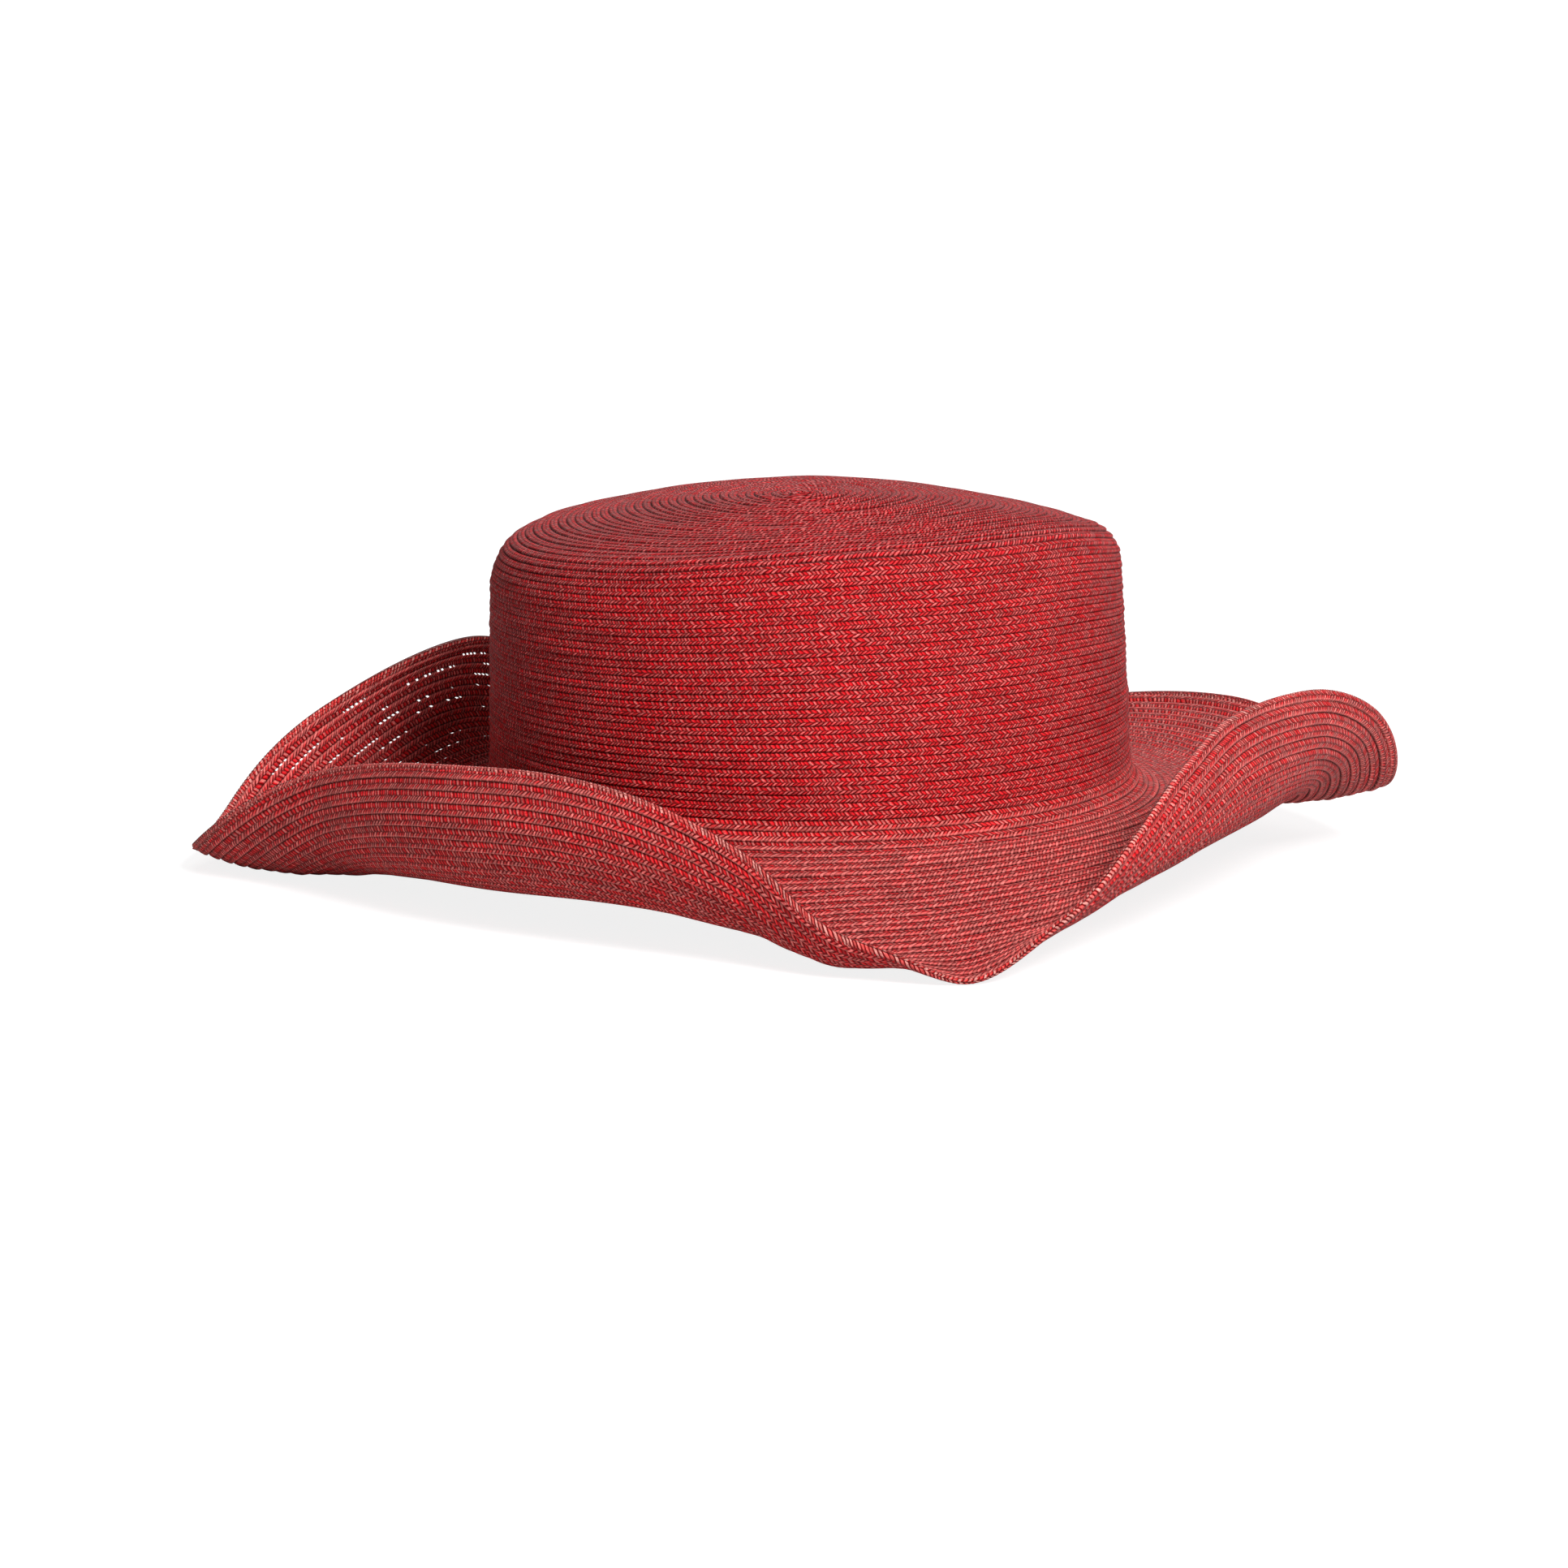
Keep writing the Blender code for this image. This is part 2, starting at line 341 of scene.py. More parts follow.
def brim_line(azimuth):
    """The brim's section at one azimuth, from the foot of the side wall out to the edge."""
    outward = unit_oval(azimuth)[2]
    start = around(BRIM_SECTIONS, "start_slope", azimuth)
    edge = around(BRIM_SECTIONS, "edge_slope", azimuth)
    curl_start = around(BRIM_SECTIONS, "curl_start", azimuth)
    width = BRIM_WIDTH * around(BRIM_SECTIONS, "width", azimuth)
    break_turn = 90 - WALL_DRAFT + start
    break_width = BREAK_RADIUS * math.radians(break_turn)
    break_shares = (np.arange(BREAK_SAMPLES) + 0.5) / BREAK_SAMPLES
    brim_shares = (np.arange(CURL_SAMPLES) + 0.5) / CURL_SAMPLES
    curl = np.maximum(0.0, brim_shares - curl_start) / (1 - curl_start)
    slopes = np.radians(
        np.concatenate((start - break_turn * (1 - break_shares), start + (edge - start) * curl))
    )
    break_step = break_width / BREAK_SAMPLES
    curl_step = (width - break_width) / CURL_SAMPLES
    steps = np.concatenate((np.full(BREAK_SAMPLES, break_step), np.full(CURL_SAMPLES, curl_step)))
    first = wall_line(azimuth, np.array([BREAK_RADIUS]))
    upward = np.array((0, 0, 1))
    moves = steps[:, None] * (np.cos(slopes)[:, None] * outward + np.sin(slopes)[:, None] * upward)
    return np.concatenate((first, first + np.cumsum(moves, axis=0)))


def at_places(wanted, places, values):
    """Points of a line at wanted places, from its points at known places."""
    return np.stack([np.interp(wanted, places, values[:, axis]) for axis in range(3)], axis=1)


def lengths_along(line):
    """The length along a line up to each of its points."""
    return np.concatenate(([0], np.cumsum(np.linalg.norm(np.diff(line, axis=0), axis=1))))


def at_even_lengths(line, count):
    """Points spread evenly by length along a line."""
    lengths = lengths_along(line)
    return at_places(np.linspace(0, lengths[-1], count), lengths, line)


def hat_placement():
    """Where the hat lies on the table, from the place and direction of its head opening."""
    opening = next(mount for mount in frame["record"]["mounts"] if mount["name"] == "head_opening")
    turn = Vector((0, 0, -1)).rotation_difference(Vector(opening["axis"]))
    return Matrix.Translation(opening["pos_m"]) @ turn.to_matrix().to_4x4()


class StrawSheet:
    """The middle of the straw wall, by azimuth column and row coordinate."""

    def __init__(self, columns):
        self.columns = columns
        self.azimuths = 360 * np.arange(columns) / columns
        total = TIP_ROWS + WALL_ROWS + BRIM_ROWS
        tip_samples = PROFILE_SAMPLES * TIP_ROWS // total
        wall_samples = PROFILE_SAMPLES * WALL_ROWS // total
        brim_samples = PROFILE_SAMPLES - tip_samples - wall_samples
        table = []
        for azimuth in self.azimuths:
            crown, rim_index = crown_line(azimuth)
            tip = at_even_lengths(crown[: rim_index + 1], tip_samples + 1)
            wall = at_even_lengths(crown[rim_index:], wall_samples + 1)
            brim = at_even_lengths(brim_line(azimuth), brim_samples + 1)
            table.append(np.concatenate((tip[:-1], wall[:-1], brim)))
        self.rows = np.concatenate(
            (
                np.linspace(0, TIP_ROWS, tip_samples, endpoint=False),
                np.linspace(TIP_ROWS, TIP_ROWS + WALL_ROWS, wall_samples, endpoint=False),
                np.linspace(TIP_ROWS + WALL_ROWS, total, brim_samples + 1),
            )
        )
        placed = np.array(hat_placement())
        self.points = np.array(table) @ placed[:3, :3].T + placed[:3, 3]
        down = np.gradient(self.points, axis=1)
        beside = np.roll(self.points, -1, axis=0) - np.roll(self.points, 1, axis=0)
        normals = np.cross(down, beside)
        normals[:, 0] = normals[:, 1].mean(axis=0)
        self.normals = normals / np.linalg.norm(normals, axis=2)[:, :, None]
        outside = self.points[:, wall_samples] - self.points[:, wall_samples].mean(axis=0)
        if (self.normals[:, wall_samples + tip_samples // 2] * outside).sum() < 0:
            self.normals = -self.normals

    def place(self, column, rows):
        """Points and outward normals at one column, for an array of row coordinates."""
        points = at_places(rows, self.rows, self.points[column])
        normals = at_places(rows, self.rows, self.normals[column])
        return points, normals / np.linalg.norm(normals, axis=1)[:, None]

    def row_length(self, row):
        """The length once round the hat at a row coordinate."""
        columns = range(0, self.columns, RING_STEP)
        ring = np.array([self.place(column, np.array([row]))[0][0] for column in columns])
        return float(np.linalg.norm(ring - np.roll(ring, 1, axis=0), axis=1).sum())


def wave(rng, turns, phases=3):
    """A smooth random function of the azimuth that closes on itself, of about unit height."""
    counts = rng.integers(2, turns, phases)
    starts = rng.uniform(0, 2 * math.pi, phases)
    return lambda azimuth: sum(
        math.sin(count * math.radians(azimuth) + start) for count, start in zip(counts, starts)
    ) / phases


class RowCharacter:
    """What sets each row of braid apart: how far its height and its groove wander along it."""

    def __init__(self, rows):
        rng = np.random.default_rng(SEED)
        self.height = [wave(rng, HEIGHT_WAVES) for _ in range(rows + 2)]
        self.groove = [wave(rng, GROOVE_WAVES) for _ in range(rows + 2)]
        self.level = rng.uniform(-1, 1, rows + 2)

    def relief(self, turn_rows, azimuth, section):
        """Height of the braid's face above the groove line, for row coordinates along the spiral."""
        rows = np.floor(turn_rows + ROW_GUARD).astype(int)
        across = turn_rows - rows
        knots = [point.across for point in section] + [1.0]
        heights = [point.height for point in section] + [0.0]
        base = np.interp(across, knots, heights)
        lift = np.array([self.height[max(row, 0)](azimuth) + self.level[max(row, 0)] for row in rows])
        sink = np.array([self.groove[max(row, 0)](azimuth) for row in rows])
        sunk = GROOVE_WANDER * np.minimum(sink, 0) * (1 - base)
        return ROW_RELIEF * base + ROW_WANDER * (lift * base + sunk)


def add_object(name, data):
    """An object for a mesh, a light or a camera, linked to the scene."""
    obj = bpy.data.objects.new(name, data)
    bpy.context.scene.collection.objects.link(obj)
    return obj


def mesh_from(name, points, faces, corner_uvs):
    """A smooth mesh with the braid's own UV map: strands along it, rows across it."""
    mesh = bpy.data.meshes.new(name)
    mesh.from_pydata(points.tolist(), [], faces)
    layer = mesh.uv_layers.new(name="braid")
    layer.data.foreach_set("uv", np.asarray(corner_uvs, np.float32).ravel())
    mesh.validate()
    mesh.shade_smooth()
    return mesh


def spiral_face(sheet, character, starts, first_row, last_row, section, outside):
    """One face of a stretch of the spiral: its points, faces, corner UVs, and its first and last lines.

    starts holds the braid's length in strands up to the start of each turn. The rows of the inner face
    count below nought in the UV map, which turns its braid over.
    """
    per_row = len(section)
    across = np.array([point.across for point in section])
    turns = np.arange(first_row - 1, last_row + 1)
    spiral_rows = (turns[:, None] + across[None, :]).ravel()
    side = 1 if outside else -1
    closed_middle = first_row == 0
    points = []
    places = []
    turn_rows = []
    columns = sheet.columns
    for column in range(columns):
        azimuth = sheet.azimuths[column]
        shifted = np.clip(spiral_rows + azimuth / 360, first_row, last_row)
        keep = np.ones(len(shifted), bool)
        keep[1:] = shifted[1:] > shifted[:-1]
        index = np.cumsum(keep) - 1
        rows = shifted[keep]
        place, normal = sheet.place(column, rows)
        lift = STRAW_HALF + character.relief(rows - azimuth / 360, azimuth, section)
        made = place + side * normal * lift[:, None]
        if closed_middle:
            if column == 0:
                points.append(made[0])
            index = np.where(index == 0, 0, index + len(points) - 1)
            points.extend(made[1:])
        else:
            index = index + len(points)
            points.extend(made)
        places.append(index)
        turn_rows.append(shifted - azimuth / 360)
    places.append(np.concatenate((places[0][per_row:], np.full(per_row, places[0][-1]))))
    turn_rows.append(np.concatenate((turn_rows[0][per_row:], np.full(per_row, turn_rows[0][-1]))) - 1)
    faces = []
    uvs = []
    steps = len(spiral_rows) - 1
    row_of_step = turns[np.arange(steps) // per_row]
    for column in range(columns):
        left, right = places[column], places[column + 1]
        left_rows, right_rows = turn_rows[column], turn_rows[column + 1]
        for step in range(steps):
            corners = (left[step], left[step + 1], right[step + 1], right[step])
            if left[step] == left[step + 1] and right[step] == right[step + 1]:
                continue
            turn = row_of_step[step]
            begin = starts[max(turn, 0)]
            length = starts[max(turn, 0) + 1] - begin
            along = (begin + length * column / columns, begin + length * (column + 1) / columns)
            corner_uvs = (
                (along[0], side * left_rows[step]),
                (along[0], side * left_rows[step + 1]),
                (along[1], side * right_rows[step + 1]),
                (along[1], side * right_rows[step]),
            )
            kept = []
            for corner, uv in zip(corners, corner_uvs):
                if all(corner != other for other, _ in kept):
                    kept.append((corner, uv))
            if len(kept) < 3:
                continue
            if not outside:
                kept.reverse()
            faces.append([int(corner) for corner, _ in kept])
            uvs.extend(uv for _, uv in kept)
    first_line = [int(place[0]) for place in places[:-1]]
    last_line = [int(place[-1]) for place in places[:-1]]
    return np.array(points), faces, uvs, first_line, last_line


def braid_piece(name, sheet, character, starts, first_row, last_row, inner_section):
    """A closed wall of sewn rows, with the outer and inner faces in relief."""
    outer = spiral_face(sheet, character, starts, first_row, last_row, OUTER_ROW, True)
    inner = spiral_face(sheet, character, starts, first_row, last_row, inner_section, False)
    shift = len(outer[0])
    points = np.concatenate((outer[0], inner[0]))
    faces = outer[1] + [[corner + shift for corner in face] for face in inner[1]]
    uvs = outer[2] + inner[2]
    ends = [(outer[4], inner[4], False)]
    if first_row > 0:
        ends.append((outer[3], inner[3], True))
    for outer_line, inner_line, turned in ends:
        count = len(outer_line)
        for column in range(count):
            following = (column + 1) % count
            face = [
                outer_line[column],
                outer_line[following],
                inner_line[following] + shift,
                inner_line[column] + shift,
            ]
            if not turned:
                face.reverse()
            faces.append(face)
            uvs.extend([(0.5, last_row if not turned else first_row)] * 4)
    return add_object(name, mesh_from(name, points, faces, uvs))


def plait(along, half_row, within):
    """Height of a plait's strands, from 0 in the gaps to 1 on their backs, as the straw finish draws them.

    along is in strands, half_row is 0 or 1 and within runs over that half of the row.
    """
    lean = np.where(half_row == 0, -UPPER_LEAN * within, LOWER_LEAN * within - UPPER_LEAN + 0.5)
    part = (along + lean) % 1
    return np.sqrt(np.maximum(0.0, 1 - (2 * part - 1) ** 2))


def edge_braid(sheet):
    """The last row of braid, which wraps the edge of the brim and lies wholly uncovered."""
    last_row = TIP_ROWS + WALL_ROWS + BRIM_ROWS
    ring, tangents, normals = [], [], []
    for column in range(sheet.columns):
        place, normal = sheet.place(column, np.array([last_row - 0.5, last_row]))
        tangent = place[1] - place[0]
        ring.append(place[1])
        tangents.append(tangent / np.linalg.norm(tangent))
        normals.append(normal[1])
    ring, tangents, normals = np.array(ring), np.array(tangents), np.array(normals)
    closed = np.concatenate((ring, ring[:1]))
    lengths = lengths_along(closed)
    strands = round(lengths[-1] / STRAND_WIDTH)
    steps = strands * EDGE_STEPS_PER_STRAND
    wanted = np.arange(steps) / steps * lengths[-1]

    def along(values):
        """Values for each step round the edge, from those for each column."""
        return at_places(wanted, lengths, np.concatenate((values, values[:1])))

    middle, out, up = along(ring), along(tangents), along(normals)
    strand = np.arange(steps) / EDGE_STEPS_PER_STRAND
    points = np.empty((steps, EDGE_SECTION_POINTS, 3))
    turns = np.arange(EDGE_SECTION_POINTS) / EDGE_SECTION_POINTS
    for index, turn in enumerate(turns):
        angle = 2 * math.pi * turn
        half_row = int(4 * turn) % 2
        within = 4 * turn % 1
        relief = EDGE_RELIEF * (plait(strand, half_row, within) - 0.5)
        wide = (EDGE_HALF_WIDTH + relief) * math.cos(angle)
        thick = (EDGE_HALF_THICKNESS + relief) * math.sin(angle)
        points[:, index] = middle + out * (wide - EDGE_INSET)[:, None] + up * thick[:, None]
    faces, uvs = [], []
    count = EDGE_SECTION_POINTS
    for step in range(steps):
        here, there = step * count, (step + 1) % steps * count
        for index in range(count):
            after = (index + 1) % count
            faces.append([here + index, there + index, there + after, here + after])
            low, high = 2 * index / count, 2 * (index + 1) / count
            start, end = step / EDGE_STEPS_PER_STRAND, (step + 1) / EDGE_STEPS_PER_STRAND
            uvs.extend(((start, low), (end, low), (end, high), (start, high)))
    name = "brim_edge_braid"
    return add_object(name, mesh_from(name, points.reshape(-1, 3), faces, uvs))


def link(tree, source, target):
    """Joins an output to an input."""
    tree.links.new(source, target)


def maths(tree, operation, first, second=None, third=None, clamp=False):
    """A Math node's output; numbers and outputs may be given alike."""
    node = tree.nodes.new("ShaderNodeMath")
    node.operation = operation
    node.use_clamp = clamp
    for socket, value in zip(node.inputs, (first, second, third)):
        if value is None:
            continue
        if isinstance(value, (int, float)):
            socket.default_value = value
        else:
            link(tree, value, socket)
    return node.outputs[0]


def times(tree, first, second, clamp=False):
    """A product of two numbers or outputs."""
    return maths(tree, "MULTIPLY", first, second, clamp=clamp)


def below_whole(tree, value):
    """A value's whole number below it, and what is left over."""
    whole = maths(tree, "FLOOR", value)
    return whole, maths(tree, "SUBTRACT", value, whole)


def off_middle(tree, share):
    """How far a share of a width lies from its middle."""
    return maths(tree, "ABSOLUTE", maths(tree, "SUBTRACT", share, 0.5))


def ramped(tree, value, ramp):
    """A value carried smoothly from one range to another."""
    node = tree.nodes.new("ShaderNodeMapRange")
    node.interpolation_type = "SMOOTHSTEP"
    link(tree, value, node.inputs["Value"])
    node.inputs["From Min"].default_value = ramp.start
    node.inputs["From Max"].default_value = ramp.end
    node.inputs["To Min"].default_value = ramp.low
    node.inputs["To Max"].default_value = ramp.high
    return node.outputs["Result"]


def noise(tree, along, across, scales, detail=2.0):
    """Smooth noise over the braid, with its own scales along and across the rows."""
    place = tree.nodes.new("ShaderNodeCombineXYZ")
    link(tree, times(tree, along, scales.along), place.inputs[0])
    link(tree, times(tree, across, scales.across), place.inputs[1])
    node = tree.nodes.new("ShaderNodeTexNoise")
    node.noise_dimensions = "2D"
    node.inputs["Scale"].default_value = 1.0
    node.inputs["Detail"].default_value = detail
    link(tree, place.outputs[0], node.inputs["Vector"])
    return node.outputs["Fac"]


def chance(tree, cell, row=None):
    """A random value for each whole place along the braid, and for each row where one is given."""
    node = tree.nodes.new("ShaderNodeTexWhiteNoise")
    if row is None:
        node.noise_dimensions = "1D"
        link(tree, cell, node.inputs["W"])
        return node.outputs["Value"]
    node.noise_dimensions = "2D"
    place = tree.nodes.new("ShaderNodeCombineXYZ")
    link(tree, cell, place.inputs[0])
    link(tree, row, place.inputs[1])
    link(tree, place.outputs[0], node.inputs["Vector"])
    return node.outputs["Value"]


def blended(tree, factor, first, second):
    """A blend of two numbers or outputs."""
    node = tree.nodes.new("ShaderNodeMix")
    link(tree, factor, node.inputs["Factor"])
    for socket, value in ((node.inputs[2], first), (node.inputs[3], second)):
        if isinstance(value, (int, float)):
            socket.default_value = value
        else:
            link(tree, value, socket)
    return node.outputs[0]


def braid_place(group):
    """Places along the braid, in strands, and across it, in rows, from its UV map."""
    uv = group.nodes.new("ShaderNodeUVMap")
    uv.uv_map = "braid"
    parts = group.nodes.new("ShaderNodeSeparateXYZ")
    link(group, uv.outputs["UV"], parts.inputs[0])
    return parts.outputs["X"], parts.outputs["Y"]


def row_shade_and_highlight(group, along, rows):
    """Across a row: painted shade that darkens its two seams, the grooves between rows, and a mask of a
    painted highlight line at its outer edge.
    """
    _, across = below_whole(group, rows)
    # Painted shade: the seams between rows are darkened where shade falls in the grooves
    groove = ramped(group, off_middle(group, across), GROOVE_SHADE_PLACE)
    groove_shade_depth = ramped(group, noise(group, along, rows, GROOVE_SHADE_NOISE), GROOVE_SHADE)
    shade = blended(group, groove, 1.0, groove_shade_depth)
    # Painted highlight: the line along each row's outer edge, where light catches it
    edge = times(group, ramped(group, across, HIGHLIGHT_LINE_START), ramped(group, across, HIGHLIGHT_LINE_END), clamp=True)
    return shade, edge


def seam_gaps(group, along, rows):
    """A mask of small gaps along the seams, in some stretches of them."""
    _, across = below_whole(group, rows)
    cell, share = below_whole(group, times(group, along, GAPS_PER_STRAND))
    luck = ramped(group, chance(group, cell), GAP_LUCK)
    gap = times(group, ramped(group, off_middle(group, share), GAP_ALONG), luck)
    seam = times(group, ramped(group, across, GAP_ACROSS), gap)
    stretch = ramped(group, noise(group, along, rows, GAP_NOISE), GAP_STRETCH)
    return maths(group, "GREATER_THAN", times(group, seam, stretch), 0.5)


def plait_group():
    """Strands of the plait from the braid's UV map, for every straw material.

    Each row is a herringbone of two halves. The group puts out the strands' height, a mask of pale flecks
    on their backs, partly pale fibres and partly painted glints, which half they lie in, a random value for
    each strand, how light each place is in all, with painted shade in the grooves between rows, a mask of a
    painted highlight line at each row's outer edge, and a mask of small gaps along the seams.
    """
    group = bpy.data.node_groups.new("plaited strands", "ShaderNodeTree")
    for name in ("Height", "Fleck", "Lower half", "Strand", "Tone and groove shade", "Row edge highlight", "Pinhole"):
        group.interface.new_socket(name=name, in_out="OUTPUT", socket_type="NodeSocketFloat")
    for name in ("Upper fleck", "Lower fleck"):
        group.interface.new_socket(name=name, in_out="INPUT", socket_type="NodeSocketFloat")
    entry = group.nodes.new("NodeGroupInput").outputs
    result = group.nodes.new("NodeGroupOutput").inputs
    along, rows = braid_place(group)

    # Where each strand runs
    drift = maths(group, "MULTIPLY_ADD", noise(group, along, rows, DRIFT_NOISE), DRIFT, -DRIFT / 2)
    waver = maths(group, "MULTIPLY_ADD", noise(group, along, rows, WAVER_NOISE), WAVER, -WAVER / 2)
    half, within = below_whole(group, times(group, rows, 2.0))
    bent = maths(group, "ADD", within, waver, clamp=True)
    lower = maths(group, "FLOORED_MODULO", half, 2.0)
    upper_shift = times(group, bent, -UPPER_LEAN)
    lower_shift = maths(group, "MULTIPLY_ADD", bent, LOWER_LEAN, 0.5 - UPPER_LEAN)
    shift = blended(group, lower, upper_shift, lower_shift)
    place = maths(group, "ADD", maths(group, "ADD", along, drift), shift)
    cell, part = below_whole(group, place)
    own = chance(group, cell, half)

    # Its round back, which dives under at both ends of its half row
    side = maths(group, "MULTIPLY_ADD", part, 2.0, -1.0)
    flatness = maths(group, "SUBTRACT", 1.0, times(group, side, side), clamp=True)
    round_back = maths(group, "SQRT", flatness)
    dive = maths(group, "SINE", maths(group, "MULTIPLY_ADD", bent, DIVE_TURN, DIVE_START))
    arch = maths(group, "POWER", dive, DIVE_POWER)
    fibre_place = maths(group, "MULTIPLY_ADD", cell, STRAND_STEP, times(group, part, FIBRES_PER_STRAND))
    fibres = ramped(group, noise(group, fibre_place, bent, FIBRE_NOISE), FIBRE_HEIGHT)
    height = times(group, times(group, round_back, arch), fibres)

    # The pale fleck on its back, mostly on every other strand: partly pale fibre, partly a painted glint on
    # its crest
    middle = maths(group, "ADD", side, blended(group, lower, UPPER_GLINT_FLECK_SHIFT, 0.0))
    line = ramped(group, maths(group, "ABSOLUTE", middle), GLINT_FLECK_WIDTH)
    clump = ramped(group, noise(group, along, rows, CLUMP_NOISE), GLINT_FLECK_CLUMPS)
    turn_about = maths(group, "FLOORED_MODULO", maths(group, "ADD", cell, half), 2.0)
    own_share = times(group, own, 1.0 - TURN_ABOUT_SHARE)
    luck = ramped(group, maths(group, "MULTIPLY_ADD", turn_about, TURN_ABOUT_SHARE, own_share), GLINT_FLECK_LUCK)
    fray = noise(group, place, rows, FRAY_NOISE)
    fleck_and_glint = times(group, times(group, line, arch), times(group, luck, clump))
    fleck_and_glint = times(group, fleck_and_glint, ramped(group, fray, GLINT_FLECK_FRAY))
    amount = blended(group, lower, entry["Upper fleck"], entry["Lower fleck"])
    fleck_and_glint = times(group, fleck_and_glint, amount, clamp=True)

    # How light each place is: random tone, with painted shade in the grooves between rows
    stretch = ramped(group, noise(group, along, rows, STRETCH_NOISE, STRETCH_DETAIL), STRETCH_TONE)
    tone = times(group, stretch, ramped(group, own, STRAND_TONE))
    tone = times(group, tone, ramped(group, fray, FIBRE_TONE))
    shade, row_edge_highlight = row_shade_and_highlight(group, along, rows)

    link(group, height, result["Height"])
    link(group, fleck_and_glint, result["Fleck"])
    link(group, lower, result["Lower half"])
    link(group, own, result["Strand"])
    link(group, times(group, tone, shade), result["Tone and groove shade"])
    link(group, row_edge_highlight, result["Row edge highlight"])
    link(group, seam_gaps(group, along, rows), result["Pinhole"])
    return group


def mixed_colour(tree, factor, first, second):
    """A blend of two colours or colour outputs."""
    node = tree.nodes.new("ShaderNodeMix")
    node.data_type = "RGBA"
    link(tree, factor, node.inputs["Factor"])
    for socket, value in ((node.inputs[6], first), (node.inputs[7], second)):
        if isinstance(value, tuple):
            socket.default_value = (*value, 1.0)
        else:
            link(tree, value, socket)
    return node.outputs[2]


def straw_material(name, plait_nodes, straw):
    """Dyed straw braid: painted shade in the gaps between strands, the body of the strands, pale flecks on
    their backs that are partly pale fibres and partly painted glints, and a painted highlight line at the
    rows' outer edges.
    """
    material = bpy.data.materials.new(name)
    material.use_nodes = True
    tree = material.node_tree
    shader = tree.nodes["Principled BSDF"]
    strands = tree.nodes.new("ShaderNodeGroup")
    strands.node_tree = plait_nodes
    strands.inputs["Upper fleck"].default_value = straw.upper_fleck
    strands.inputs["Lower fleck"].default_value = straw.lower_fleck
    out = strands.outputs
    body = mixed_colour(tree, out["Lower half"], straw.upper, straw.lower)
    # Painted shade: the gaps between strands, where shade falls, take the dark gap colour
    gap_shaded = mixed_colour(tree, ramped(tree, out["Height"], STRAND_BACK), straw.deep, body)
    # Pale flecks: partly pale fibres, partly painted glints on the strands' crests
    glint_flecked = mixed_colour(tree, out["Fleck"], gap_shaded, straw.pale)
    # Painted highlight: a pale line where light catches each row's outer edge
    edge = times(tree, out["Row edge highlight"], straw.edge_line)
    edge_highlighted = mixed_colour(tree, edge, glint_flecked, straw.pale)
    shade = tree.nodes.new("ShaderNodeHueSaturation")
    link(tree, edge_highlighted, shade.inputs["Color"])
    link(tree, out["Tone and groove shade"], shade.inputs["Value"])
    link(tree, shade.outputs[0], shader.inputs["Base Color"])
    link(tree, ramped(tree, out["Strand"], STRAND_ROUGHNESS), shader.inputs["Roughness"])
    bump = tree.nodes.new("ShaderNodeBump")
    bump.inputs["Strength"].default_value = 1.0
    bump.inputs["Distance"].default_value = BUMP_DEPTH
    link(tree, out["Height"], bump.inputs["Height"])
    link(tree, bump.outputs["Normal"], shader.inputs["Normal"])
    shader.inputs["Specular IOR Level"].default_value = STRAW_SHINE
    shader.inputs["Sheen Weight"].default_value = STRAW_SHEEN
    shader.inputs["Sheen Roughness"].default_value = SHEEN_ROUGHNESS
    return material


def open_seams(material):
    """Lets light through small gaps along the seams at the back and left of the brim.

    The far face of the wall is seen only through a gap, so it lets all light out there.
    """
    tree = material.node_tree
    strands = next(node for node in tree.nodes if node.bl_idname == "ShaderNodeGroup")
    place = tree.nodes.new("ShaderNodeTexCoord")
    parts = tree.nodes.new("ShaderNodeSeparateXYZ")
    link(tree, place.outputs["Object"], parts.inputs[0])
    left = ramped(tree, parts.outputs["X"], OPEN_LEFT)
    back = ramped(tree, parts.outputs["Y"], OPEN_BACK)
    geometry = tree.nodes.new("ShaderNodeNewGeometry")
    opening = maths(tree, "MAXIMUM", strands.outputs["Pinhole"], geometry.outputs["Backfacing"])
    gaps = times(tree, times(tree, left, back), opening)
    closed = maths(tree, "SUBTRACT", 1.0, gaps, clamp=True)
    link(tree, closed, tree.nodes["Principled BSDF"].inputs["Alpha"])


def floor_and_backdrop():
    """A plain white floor that runs out of the camera's sight."""
    mesh = bpy.data.meshes.new("studio_floor")
    half = FLOOR_SIDE / 2
    corners = [(-half, -half, 0), (half, -half, 0), (half, half, 0), (-half, half, 0)]
    mesh.from_pydata(corners, [], [(0, 1, 2, 3)])
    floor = add_object("studio_floor", mesh)
    material = bpy.data.materials.new("white_floor")
    material.use_nodes = True
    tree = material.node_tree
    shader = tree.nodes["Principled BSDF"]
    shader.inputs["Base Color"].default_value = FLOOR_GREY
    shader.inputs["Roughness"].default_value = FLOOR_ROUGHNESS
    shader.inputs["Specular IOR Level"].default_value = 0.0
    glow = tree.nodes.new("ShaderNodeEmission")
    glow.inputs["Strength"].default_value = FLOOR_GLOW
    path = tree.nodes.new("ShaderNodeLightPath")
    mix = tree.nodes.new("ShaderNodeMixShader")
    link(tree, times(tree, path.outputs["Is Camera Ray"], FLOOR_GLOW_SHARE), mix.inputs["Fac"])
    link(tree, shader.outputs["BSDF"], mix.inputs[1])
    link(tree, glow.outputs["Emission"], mix.inputs[2])
    link(tree, mix.outputs["Shader"], tree.nodes["Material Output"].inputs["Surface"])
    floor.data.materials.append(material)


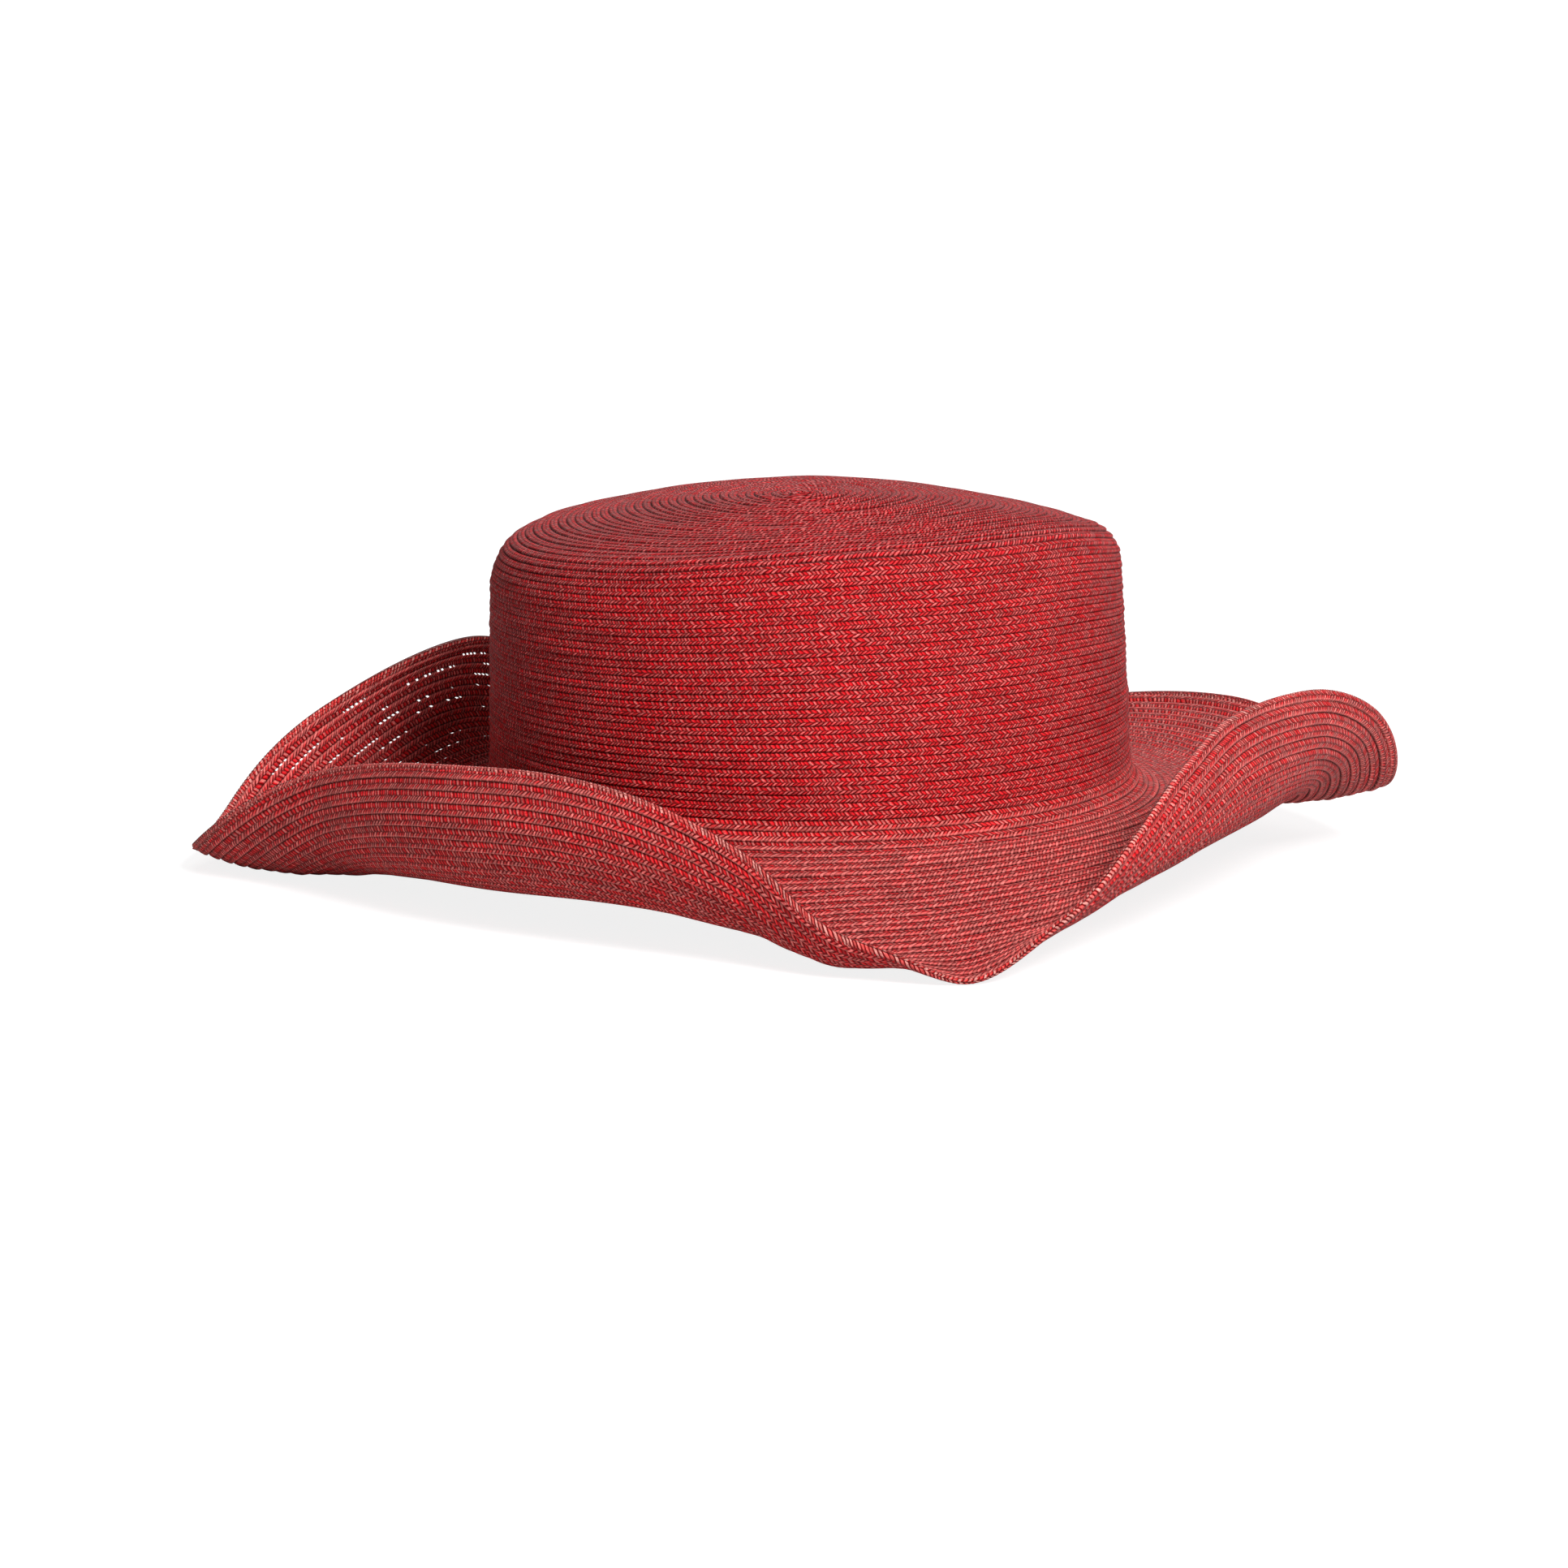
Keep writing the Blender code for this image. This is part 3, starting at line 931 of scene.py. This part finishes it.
def soft_light(light):
    """A square soft box that faces the hat."""
    place = Vector(placed_round(light.azimuth, light.elevation, light.distance))
    data = bpy.data.lights.new(light.name, "AREA")
    data.shape = "SQUARE"
    data.size = light.size
    data.energy = light.power
    lamp = add_object(light.name, data)
    lamp.location = place
    lamp.rotation_euler = (Vector(LIGHT_AIM) - place).to_track_quat("-Z", "Y").to_euler()


def placed_round(azimuth, elevation, distance):
    """A point seen from the hat at an azimuth, from the front over the right side, and an elevation."""
    turn, rise = math.radians(azimuth), math.radians(elevation)
    return (
        distance * math.sin(turn) * math.cos(rise),
        -distance * math.cos(turn) * math.cos(rise),
        distance * math.sin(rise),
    )


def studio_lights():
    """A soft light from the front and right, weaker ones from behind and low left, and a dim surround."""
    for light in SOFT_LIGHTS:
        soft_light(light)
    world = bpy.data.worlds.new("studio_surround")
    world.use_nodes = True
    surround = world.node_tree.nodes["Background"]
    surround.inputs["Color"].default_value = (1.0, 1.0, 1.0, 1.0)
    surround.inputs["Strength"].default_value = SURROUND_STRENGTH
    bpy.context.scene.world = world


def photograph_camera():
    """The camera at the photograph's angle, with the hat where it lies in the photograph's frame."""
    away = Vector(placed_round(CAMERA_AZIMUTH, CAMERA_ELEVATION, 1.0))
    turn = math.radians(CAMERA_AZIMUTH)
    right = Vector((math.cos(turn), math.sin(turn), 0))
    up = away.cross(right)
    middle = FRAME_PIXELS / 2
    aim = (
        Vector(AIM_ON_FLOOR)
        - right * (AIM_PIXEL[0] - middle) * METRES_PER_PIXEL
        + up * (AIM_PIXEL[1] - middle) * METRES_PER_PIXEL
    )
    data = bpy.data.cameras.new("photograph_camera")
    data.sensor_width = SENSOR_WIDTH
    data.lens = SENSOR_WIDTH * CAMERA_DISTANCE / (FRAME_PIXELS * METRES_PER_PIXEL)
    data.clip_start = NEAREST_SEEN
    camera = add_object("photograph_camera", data)
    camera.location = aim + away * CAMERA_DISTANCE
    camera.rotation_euler = (-away).to_track_quat("-Z", "Y").to_euler()
    bpy.context.scene.camera = camera


def braid_starts(sheet):
    """The length of braid, in strands, up to the start of each turn of the spiral."""
    total = TIP_ROWS + WALL_ROWS + BRIM_ROWS
    turns = [round(sheet.row_length(min(turn + 0.5, total)) / STRAND_WIDTH) for turn in range(total + 1)]
    return np.concatenate(([0], np.cumsum(turns)))


def finish_piece(piece, straw, node):
    """Gives a piece its straw, hangs it under the hat's root, and hides the hat's own part for the node it
    stands for.
    """
    piece.data.materials.append(straw)
    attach(piece, "root")
    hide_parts(node)


def dress_hat():
    """All pieces of the hat, with their finishes."""
    tip_sheet = StrawSheet(TIP_COLUMNS)
    wall_sheet = StrawSheet(WALL_COLUMNS)
    brim_sheet = StrawSheet(BRIM_COLUMNS)
    starts = braid_starts(brim_sheet)
    crown_end = TIP_ROWS + WALL_ROWS
    total = crown_end + BRIM_ROWS
    brim_middle = crown_end + BRIM_ROWS // 2
    character = RowCharacter(total)
    strands = plait_group()
    crown_straw = straw_material("crown_straw", strands, CROWN_STRAW)
    brim_straw = straw_material("brim_straw", strands, BRIM_STRAW)
    edge_straw = straw_material("edge_straw", strands, EDGE_STRAW)
    open_seams(brim_straw)
    stretches = (
        ("crown_tip_braid", tip_sheet, 0, TIP_ROWS, PLAIN_ROW, crown_straw, "crown"),
        ("crown_wall_braid", wall_sheet, TIP_ROWS, crown_end, PLAIN_ROW, crown_straw, "crown"),
        ("brim_inner_braid", brim_sheet, crown_end, brim_middle, INNER_ROW, brim_straw, "brim"),
        ("brim_outer_braid", brim_sheet, brim_middle, total, INNER_ROW, brim_straw, "brim"),
    )
    for name, sheet, first_row, last_row, inner_section, straw, node in stretches:
        piece = braid_piece(name, sheet, character, starts, first_row, last_row, inner_section)
        finish_piece(piece, straw, node)
    finish_piece(edge_braid(brim_sheet), edge_straw, "brim")


photograph_camera()
dress_hat()
floor_and_backdrop()
studio_lights()
bpy.context.scene.view_settings.view_transform = "Standard"
